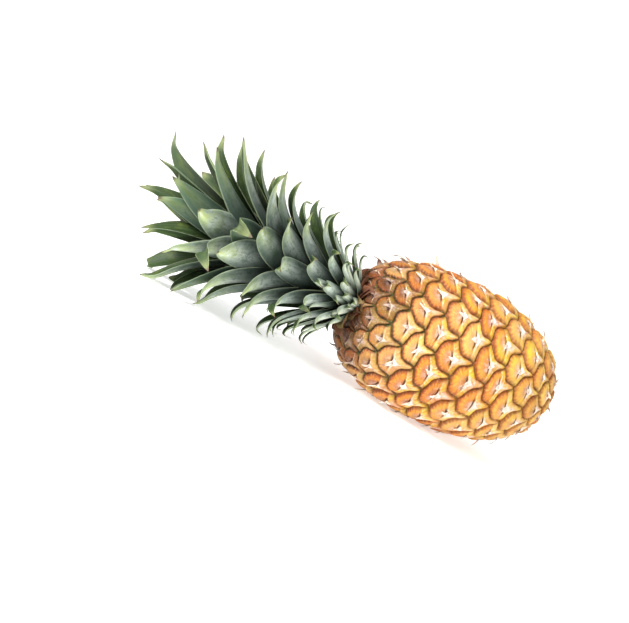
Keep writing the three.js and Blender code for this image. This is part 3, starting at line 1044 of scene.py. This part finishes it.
def with_grooves(s, at, skin):
    """The grooves between the eyes: a thin toothed line, broken and brown towards the base, green
    where three eyes meet, and brown painted shade on the skin beside it."""
    teeth = s.math("SINE", s.add(s.times(at.turn, 17), s.times(at.luck, 6)))
    teeth = s.times(teeth, s.smooth(at.down, -0.1, 0.3, 0.02, 0.006))
    tail_edge = s.times(s.sub(1, s.most(at.a, at.b)), 1.3)
    edge = s.least(s.least(at.a, at.b), tail_edge)
    edge = s.add(edge, s.add(s.times(at.shake, 0.85), teeth))
    # Painted shade: the skin darkens beside the grooves, most on the crown side of each eye.
    groove_painted_shade = s.times(
        s.smooth(edge, 0.02, 0.19, 0.85, 0),
        s.smooth(at.along, 0.45, 0.95, 1, 0.8),
        s.smooth(at.down, -0.2, 0.3, 1, 0.45),
    )
    browner = s.smooth(s.add(at.along, s.times(at.coarse, 0.3)), 0.25, 0.7)
    tint = s.layers(s.blend(browner, "26220A", "80481E"), (s.times(at.corner, 0.8), "3F5214"))
    gaps = s.noise(at.place, 170, 3, 0.6)
    whole = s.smooth(gaps, 0.38, 0.56, 1, s.smooth(at.along, 0.1, 0.6, 0.95, 0.3))
    groove = s.smooth(edge, 0.015, s.smooth(at.along, 0.1, 0.55, 0.1, 0.05), 1, 0)
    return s.layers(skin, (groove_painted_shade, "803808"), (s.times(groove, s.times(whole, 0.97)), tint))


def rind_material():
    s = Shader("pineapple_rind", 0.5, 0.4)
    at = rind_values(s)
    sepal, creases = sepal_colour(s, at)
    bract, fibres = bract_colour(s, at)
    skin = s.blend(s.smooth(at.past, -0.02, 0.02), sepal, bract)
    skin = s.layers(
        with_grooves(s, at, with_dry_middle(s, at, ripened(s, at, skin))),
        (s.smooth(at.fine, 0.58, 0.75, 0, 0.4), "F2DDB8"),
        (s.smooth(at.fine, 0.28, 0.42, 0.45, 0), "573010"),
    )
    grain = s.add(s.times(at.medium, 0.5), s.times(at.fine, 0.3))
    relief = s.add(s.add(s.times(creases, 0.9), grain), s.times(fibres, 0.9))
    s.bump(relief, 0.8, 0.0009)
    return s.finish(skin, s.smooth(at.medium, 0.3, 0.7, 0.4, 0.62))


def bract_tip_material():
    """Papery: pinkish on the bract, brown at the end of some tips and by the neck."""
    s = Shader("dry_bract_tip", 0.7, 0.3)
    down, side, _ = s.uv("tip")
    luck, along, _ = s.attribute("tip_look")
    threads = s.streaks((side, down, luck), (9, 2, 7), 6, 3, 0.6)
    tip = s.smooth(down, -0.42, -0.26, 1, 0)
    paper = s.layers(
        s.blend(s.smooth(threads, 0.44, 0.66), "F6EADC", "C89C80"),
        (s.smooth(down, 0.04, 0.26, 0, 0.8), "CF9E84"),
        (s.smooth(s.size(side), 0.14, 0.42, 0, 0.7), "D9B382"),
        (s.times(tip, s.smooth(luck, 0.5, 0.85, 0.05, 0.8)), "7A5238"),
        (s.smooth(along, 0.04, 0.3, 0.9, 0), "6A4634"),
    )
    s.bump(s.add(threads, s.noise(s.place(), 500)), 0.4, 0.0003)
    return s.finish(paper)


def leaf_material():
    """The inner face is dark and olive. A grey bloom lies on the outer face, with painted shade by
    the margins. Both darken towards the foot with painted shade, where the leaves above cover
    them."""
    s = Shader("pineapple_leaf", 0.45, 0.25)
    across, along, _ = s.uv("leaf")
    luck, share, outer = s.attribute("leaf_look")
    spot = (across, along, luck)
    lines = s.streaks(spot, (7, 0.8, 20), 3, 5, 0.75)
    blotch = s.streaks(spot, (1.4, 4, 30), 2.2, 4, 0.65)
    rubbed = s.streaks(spot, (2.5, 7, 50), 2.5, 4, 0.65, 0.6)
    stray = s.sub(lines, 0.5)
    grain = s.noise(s.place(), 700, 3, 0.6)

    yellow = s.times(s.smooth(along, 0.5, 0.9), s.smooth(blotch, 0.34, 0.52))
    inmost = s.smooth(s.add(share, s.times(blotch, 0.2)), 0.6, 0.9)
    dull = s.times(inmost, s.smooth(luck, 0.5, 0.65))
    from_middle = s.size(s.sub(across, 0.5))
    # Painted shade: the blade darkens towards its margins, where it curves away from the light.
    margin_shade = s.smooth(s.add(from_middle, s.times(stray, 0.2)), 0.12, 0.46)
    ragged = s.add(along, s.times(stray, 0.1))
    # Painted shade: these two masks darken the blade towards its foot, where the leaves above
    # cover it.
    shade_towards_foot = s.smooth(ragged, 0.2, s.smooth(share, 0.1, 0.6, 0.58, 1), 0.92, 0)
    foot = s.smooth(ragged, 0.15, s.smooth(share, 0.1, 0.6, 0.46, 0.89), 0.97, 0)
    olive = s.layers(
        s.blend(s.smooth(lines, 0.35, 0.7), "22311A", "3A4D28"),
        (s.smooth(blotch, 0.5, 0.75, 0, 0.7), "57642A"),
        # Painted shade at the foot of the inner face.
        (s.times(foot, 0.8), "111A0B"),
    )
    bloom = s.layers(
        s.blend(s.smooth(lines, 0.3, 0.7), "BCD0C2", "F4FBF4"),
        (s.smooth(blotch, 0.5, 0.72, 0, 0.6), "809A78"),
        (s.smooth(rubbed, 0.5, 0.62, 0, 0.6), "6C8A7A"),
        (s.smooth(rubbed, 0.34, 0.47, 0.85, 0), "E8F2EA"),
        (s.times(yellow, 0.85), "C6D68C"),
        (s.smooth(share, 0.03, 0.35, 0.6, 0), "DEE9CC"),
        (s.times(dull, 0.85), "3F5734"),
        # Painted shade: darker by the margins and towards the foot.
        (s.times(margin_shade, 0.6), "456054"),
        (shade_towards_foot, "2B4036"),
        (foot, "0F1712"),
    )
    towards_tip = s.add(along, s.times(stray, 0.05))
    leaf = s.layers(
        s.blend(outer, olive, bloom),
        (s.times(s.smooth(from_middle, 0.455, 0.5), 0.35), "B9C49C"),
        (s.smooth(towards_tip, 0.86, 0.96, 0, 0.3), "A8AE78"),
        (s.smooth(towards_tip, 0.955, 0.985), "5D5140"),
    )
    s.bump(s.add(s.times(lines, 1.2), s.times(grain, 0.3)), 0.35, 0.0005)
    return s.finish(leaf, s.smooth(lines, 0.3, 0.7, 0.4, 0.55))


def dry_leaf_material():
    s = Shader("dry_neck_bract", 0.7, 0.3)
    across, along, _ = s.uv("leaf")
    luck, _, _ = s.attribute("leaf_look")
    lines = s.streaks((across, along, luck), (10, 1.5, 20), 3, 4, 0.7)
    paper = s.layers(
        s.blend(s.smooth(lines, 0.35, 0.65), "683C28", "94664A"),
        (s.smooth(along, 0.5, 0.9, 0, 0.8), "5A3626"),
        (s.smooth(luck, 0.5, 0.9, 0, 0.5), "8C8050"),
    )
    s.bump(lines, 0.5, 0.0005)
    return s.finish(paper)


def stalk_material():
    """Brown bark, and a paler cut face, which is all of the stub past CUT_FACE."""
    s = Shader("cut_stalk_wood", 0.8, 0.3)
    place = s.place()
    x, y, z = s.split(place)
    threads = s.noise(s.vector(s.times(x, 0.15), y, z), 420, 4, 0.6)
    spots = s.noise(place, 520, 3, 0.6)
    bark = s.blend(s.smooth(threads, 0.35, 0.65), "7D6A3A", "B39A62")
    cut = s.blend(s.smooth(spots, 0.4, 0.65), "D8C28C", "9A7A48")
    s.bump(s.add(threads, spots), 0.5, 0.0006)
    return s.finish(s.blend(s.smooth(x, CUT_FACE, CUT_FACE + 0.001), bark, cut))


# ---- Stage, camera and light ----

CAMERA_LENS = 116.5
CAMERA_DISTANCE = 1.5
CAMERA_HEIGHT = 8  # degrees over the horizon
CROWN_TOWARDS = 22  # degrees that the crown points out of the picture, towards the camera
AXIS_FALL = 27  # degrees that the fruit's axis falls to the right in the picture
NECK_PIXEL = (351, 303)
IMAGE_SIZE = (629, 623)
SENSOR_WIDTH = 36
DISH_FLAT = 1.9  # radius of the floor's flat part, in metres
DISH_CURVE = 1.6
FLOOR_GLOW = 0.5
SKY = 0.22


def make_stage():
    """A pale dish: a flat floor that curves up far from the object on every side."""
    bends = np.linspace(0.1, 1.5, 15)
    rows = [(0.0001, 0), (0.5, 0), (DISH_FLAT, 0)]
    rows += [(DISH_FLAT + DISH_CURVE * math.sin(a), DISH_CURVE * (1 - math.cos(a))) for a in bends]
    points, faces = turned(rows, 96, Matrix.Identity(4))
    shader = Shader("pale_floor", 0.9, 0.1)
    shader.surface.inputs["Emission Color"].default_value = (1, 1, 1, 1)
    shader.surface.inputs["Emission Strength"].default_value = FLOOR_GLOW
    pale = shader.finish((0.93, 0.93, 0.93, 1))
    floor = linked("floor", smooth_mesh("floor", pale, points, faces[:-2]))


def picture_axes():
    """Directions right, up and back of the picture, in the part's frame."""
    axis = Vector(LAID.to_3x3() @ Vector((0, 0, 1)))
    height = math.radians(CAMERA_HEIGHT)
    level = math.cos(height)
    pitch = math.asin(axis.z)
    out = math.sin(math.radians(CROWN_TOWARDS)) - math.sin(pitch) * math.sin(height)
    azimuth = math.asin(-out / (math.cos(pitch) * level))
    back = Vector((math.sin(azimuth) * level, -math.cos(azimuth) * level, math.sin(height)))
    right = Vector((math.cos(azimuth), math.sin(azimuth), 0))
    up = back.cross(right)
    roll = math.radians(AXIS_FALL) - math.atan2(axis.dot(up), -axis.dot(right))
    sin, cos = math.sin(roll), math.cos(roll)
    return right * cos + up * sin, up * cos - right * sin, back


def make_camera():
    right, up, back = picture_axes()
    neck = LAID @ Vector((0, 0, FRUIT_LENGTH)) * 0.001
    cut = LAID.translation * 0.001
    depth = CAMERA_DISTANCE + (cut - neck).dot(back) / 2
    pixel = depth * SENSOR_WIDTH / (CAMERA_LENS * IMAGE_SIZE[0])
    x = (NECK_PIXEL[0] - IMAGE_SIZE[0] / 2) * pixel
    y = (IMAGE_SIZE[1] / 2 - NECK_PIXEL[1]) * pixel
    lens = bpy.data.cameras.new("camera")
    lens.lens = CAMERA_LENS
    lens.sensor_width = SENSOR_WIDTH
    camera = linked("camera", lens)
    turn = Matrix((right, up, back)).transposed().to_4x4()
    camera.matrix_world = Matrix.Translation(neck - right * x - up * y + back * depth) @ turn
    bpy.context.scene.camera = camera


def make_light(name, place, size, power):
    """A soft square lamp that looks at the object."""
    target = Vector((-0.06, 0, 0.06))
    lamp = bpy.data.lights.new(name, "AREA")
    lamp.size = size
    lamp.energy = power
    holder = linked(name, lamp)
    holder.location = place
    holder.rotation_mode = "QUATERNION"
    holder.rotation_quaternion = (Vector(place) - target).to_track_quat("Z", "Y")


def make_lights():
    right, up, back = picture_axes()
    key = up * 1.05 + back * 1.15 - right * 0.6
    key.z = max(key.z, 0.9)
    fill = back * 1.2 + right * 0.9 + Vector((0, 0, 0.6))
    make_light("key", key, size=0.6, power=56)
    make_light("fill", fill, size=1.2, power=9)
    make_light("side", back * 0.7 + up * 0.45 - right * 1.3, size=0.5, power=21)
    make_light("top", Vector((0.1, 0.2, 1.6)), size=1.6, power=6)
    world = bpy.data.worlds.new("studio")
    world.use_nodes = True
    sky = world.node_tree.nodes["Background"]
    sky.inputs["Color"].default_value = (1, 1, 1, 1)
    sky.inputs["Strength"].default_value = SKY
    bpy.context.scene.world = world


# ---- The picture ----

make_stage()
make_camera()
make_lights()
make_fruit()
make_bract_tips()
make_crown()
make_neck_bracts()
make_stalk()
bpy.context.scene.view_settings.view_transform = "Standard"
